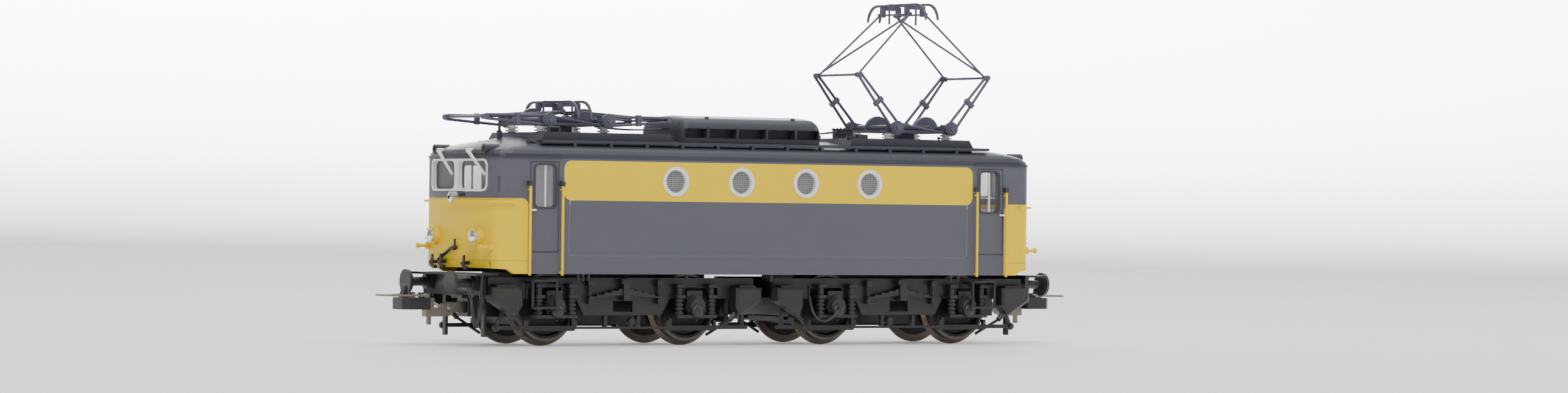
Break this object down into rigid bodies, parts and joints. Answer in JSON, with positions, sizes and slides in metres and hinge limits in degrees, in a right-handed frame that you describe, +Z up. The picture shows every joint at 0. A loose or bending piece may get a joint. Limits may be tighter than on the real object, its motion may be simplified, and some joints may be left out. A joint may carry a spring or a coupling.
{
  "type": "scale model electric locomotive",
  "caption": "Scale model electric locomotive with a cab at each end, round side windows and diamond pantographs on the roof.",
  "frame": {"origin": "ground under the middle of the model, at the lowest point of the wheel flanges", "axes": "+X along the locomotive towards the end with the raised pantograph, +Y across it, +Z up"},
  "size_m": [0.17, 0.0352, 0.075],
  "materials": {
    "body_paint": "satin grey and yellow paint on moulded plastic",
    "roof_paint": "satin dark grey",
    "bogie_black": "matt black plastic",
    "wheel_steel": "turned metal tyres",
    "pantograph_grey": "painted grey metal",
    "rail_yellow": "yellow plastic rails",
    "trim_silver": "silver printed trim",
    "clear_glass": "clear moulded panes",
    "insulator_white": "white plastic",
    "grille_grey": "fine grey mesh",
    "inside_plastic": "plain grey moulding",
    "cast_metal": "bare cast metal",
    "bow_metal": "bright wire"
  },
  "bodies": {
    "body": {"air_hoses": "bogie_black", "body_shell": "body_paint", "cab_glass": "clear_glass", "cab_interiors": "inside_plastic", "door_handles": "trim_silver", "end_pegs": "rail_yellow", "front_rails": "rail_yellow", "grab_rails": "rail_yellow", "lamps": "rail_yellow", "porthole_grilles": "grille_grey", "porthole_rings": "trim_silver", "roof": "roof_paint", "roof_fittings": "roof_paint", "roof_hood": "roof_paint", "roof_insulators": "insulator_white", "roof_platforms": "roof_paint", "roof_walkways": "roof_paint", "underframe": "bogie_black", "weight": "cast_metal", "window_frames": "trim_silver", "wipers": "trim_silver", "pantograph_front_base": "pantograph_grey", "pantograph_rear_base": "pantograph_grey"},
    "bogie_front": {"axle_boxes_front": "bogie_black", "bogie_frame_front": "bogie_black", "brake_gear_front": "bogie_black", "buffer_beam_front": "bogie_black", "buffers_front": "bogie_black", "leaf_springs_front": "bogie_black", "sandboxes_front": "bogie_black", "steps_front": "bogie_black"},
    "coupler_front": {"coupler_shank_front": "cast_metal", "coupler_head_front": "bogie_black"},
    "coupler_bow_front": {"coupler_bow_front": "bow_metal"},
    "bogie_rear": {"axle_boxes_rear": "bogie_black", "bogie_frame_rear": "bogie_black", "brake_gear_rear": "bogie_black", "buffer_beam_rear": "bogie_black", "buffers_rear": "bogie_black", "leaf_springs_rear": "bogie_black", "sandboxes_rear": "bogie_black", "steps_rear": "bogie_black"},
    "coupler_rear": {"coupler_shank_rear": "cast_metal", "coupler_head_rear": "bogie_black"},
    "coupler_bow_rear": {"coupler_bow_rear": "bow_metal"},
    "wheelset_1": {"wheelset_1": "wheel_steel"},
    "wheelset_2": {"wheelset_2": "wheel_steel"},
    "wheelset_3": {"wheelset_3": "wheel_steel"},
    "wheelset_4": {"wheelset_4": "wheel_steel"},
    "pantograph_front_lower_arm_a": {"pantograph_front_lower_arm_a": "pantograph_grey"},
    "pantograph_front_lower_arm_b": {"pantograph_front_lower_arm_b": "pantograph_grey"},
    "pantograph_front_upper_arm_a": {"pantograph_front_upper_arm_a": "pantograph_grey"},
    "pantograph_front_upper_arm_b": {"pantograph_front_upper_arm_b": "pantograph_grey"},
    "pantograph_front_head": {"pantograph_front_head": "pantograph_grey"},
    "pantograph_rear_lower_arm_a": {"pantograph_rear_lower_arm_a": "pantograph_grey"},
    "pantograph_rear_lower_arm_b": {"pantograph_rear_lower_arm_b": "pantograph_grey"},
    "pantograph_rear_upper_arm_a": {"pantograph_rear_upper_arm_a": "pantograph_grey"},
    "pantograph_rear_upper_arm_b": {"pantograph_rear_upper_arm_b": "pantograph_grey"},
    "pantograph_rear_head": {"pantograph_rear_head": "pantograph_grey"}
  },
  "joints": [
    {"name": "bogie_front_swing", "type": "hinge", "parent": "body", "child": "bogie_front", "pos_m": [-0.03466, 0, 0.0166], "axis": [0, 0, 1], "range_deg": [-5.5, 5.5]},
    {"name": "bogie_rear_swing", "type": "hinge", "parent": "body", "child": "bogie_rear", "pos_m": [0.03466, 0, 0.0166], "axis": [0, 0, 1], "range_deg": [-5.5, 5.5]},
    {"name": "wheelset_1_spin", "type": "hinge", "parent": "bogie_front", "child": "wheelset_1", "pos_m": [-0.05165, 0, 0.00818], "axis": [0, 1, 0], "continuous": true},
    {"name": "wheelset_2_spin", "type": "hinge", "parent": "bogie_front", "child": "wheelset_2", "pos_m": [-0.01767, 0, 0.00818], "axis": [0, 1, 0], "continuous": true},
    {"name": "wheelset_3_spin", "type": "hinge", "parent": "bogie_rear", "child": "wheelset_3", "pos_m": [0.01767, 0, 0.00818], "axis": [0, 1, 0], "continuous": true},
    {"name": "wheelset_4_spin", "type": "hinge", "parent": "bogie_rear", "child": "wheelset_4", "pos_m": [0.05165, 0, 0.00818], "axis": [0, 1, 0], "continuous": true},
    {"name": "coupler_front_swing", "type": "hinge", "parent": "bogie_front", "child": "coupler_front", "pos_m": [-0.062, 0, 0.0069], "axis": [0, 0, 1], "range_deg": [-8, 8]},
    {"name": "coupler_front_bow_lift", "type": "hinge", "parent": "coupler_front", "child": "coupler_bow_front", "pos_m": [-0.077, 0, 0.01045], "axis": [0, 1, 0], "range_deg": [0, 15]},
    {"name": "coupler_rear_swing", "type": "hinge", "parent": "bogie_rear", "child": "coupler_rear", "pos_m": [0.062, 0, 0.0069], "axis": [0, 0, 1], "range_deg": [-8, 8]},
    {"name": "coupler_rear_bow_lift", "type": "hinge", "parent": "coupler_rear", "child": "coupler_bow_rear", "pos_m": [0.077, 0, 0.01045], "axis": [0, -1, 0], "range_deg": [0, 15]},
    {"name": "pantograph_front_raise", "type": "hinge", "parent": "body", "child": "pantograph_front_lower_arm_a", "pos_m": [-0.051, 0, 0.0474], "axis": [0, 1, 0], "range_deg": [0, 48]},
    {"name": "pantograph_front_lower_b", "type": "hinge", "parent": "body", "child": "pantograph_front_lower_arm_b", "pos_m": [-0.0368, 0, 0.0474], "axis": [0, 1, 0], "range_deg": [-48.5, 0.5]},
    {"name": "pantograph_front_knee_a", "type": "hinge", "parent": "pantograph_front_lower_arm_a", "child": "pantograph_front_upper_arm_a", "pos_m": [-0.06599, 0, 0.04792], "axis": [0, 1, 0], "range_deg": [-87.5, 0.5]},
    {"name": "pantograph_front_knee_b", "type": "hinge", "parent": "pantograph_front_lower_arm_b", "child": "pantograph_front_upper_arm_b", "pos_m": [-0.02181, 0, 0.04792], "axis": [0, 1, 0], "range_deg": [-0.5, 87.5]},
    {"name": "pantograph_front_head_level", "type": "hinge", "parent": "pantograph_front_upper_arm_a", "child": "pantograph_front_head", "pos_m": [-0.04594, 0, 0.04933], "axis": [0, 1, 0], "range_deg": [-0.5, 39.5]},
    {"name": "pantograph_rear_raise", "type": "hinge", "parent": "body", "child": "pantograph_rear_lower_arm_a", "pos_m": [0.0359, 0, 0.0474], "axis": [0, 1, 0], "range_deg": [-48, 0]},
    {"name": "pantograph_rear_lower_b", "type": "hinge", "parent": "body", "child": "pantograph_rear_lower_arm_b", "pos_m": [0.0501, 0, 0.0474], "axis": [0, 1, 0], "range_deg": [-0.5, 48.5]},
    {"name": "pantograph_rear_knee_a", "type": "hinge", "parent": "pantograph_rear_lower_arm_a", "child": "pantograph_rear_upper_arm_a", "pos_m": [0.02626, 0, 0.05889], "axis": [0, 1, 0], "range_deg": [-0.5, 87.5]},
    {"name": "pantograph_rear_knee_b", "type": "hinge", "parent": "pantograph_rear_lower_arm_b", "child": "pantograph_rear_upper_arm_b", "pos_m": [0.05974, 0, 0.05889], "axis": [0, 1, 0], "range_deg": [-87.5, 0.5]},
    {"name": "pantograph_rear_head_level", "type": "hinge", "parent": "pantograph_rear_upper_arm_a", "child": "pantograph_rear_head", "pos_m": [0.04096, 0, 0.0726], "axis": [0, 1, 0], "range_deg": [-39.5, 0.5]}
  ],
  "couplings": [
    {"joint": "pantograph_front_lower_b", "follows": "pantograph_front_raise", "ratio": -1},
    {"joint": "pantograph_front_knee_a", "follows": "pantograph_front_raise", "ratio": -1.8125},
    {"joint": "pantograph_front_knee_b", "follows": "pantograph_front_raise", "ratio": 1.8125},
    {"joint": "pantograph_front_head_level", "follows": "pantograph_front_raise", "ratio": 0.8125},
    {"joint": "pantograph_rear_lower_b", "follows": "pantograph_rear_raise", "ratio": -1},
    {"joint": "pantograph_rear_knee_a", "follows": "pantograph_rear_raise", "ratio": -1.8125},
    {"joint": "pantograph_rear_knee_b", "follows": "pantograph_rear_raise", "ratio": 1.8125},
    {"joint": "pantograph_rear_head_level", "follows": "pantograph_rear_raise", "ratio": 0.8125}
  ]
}
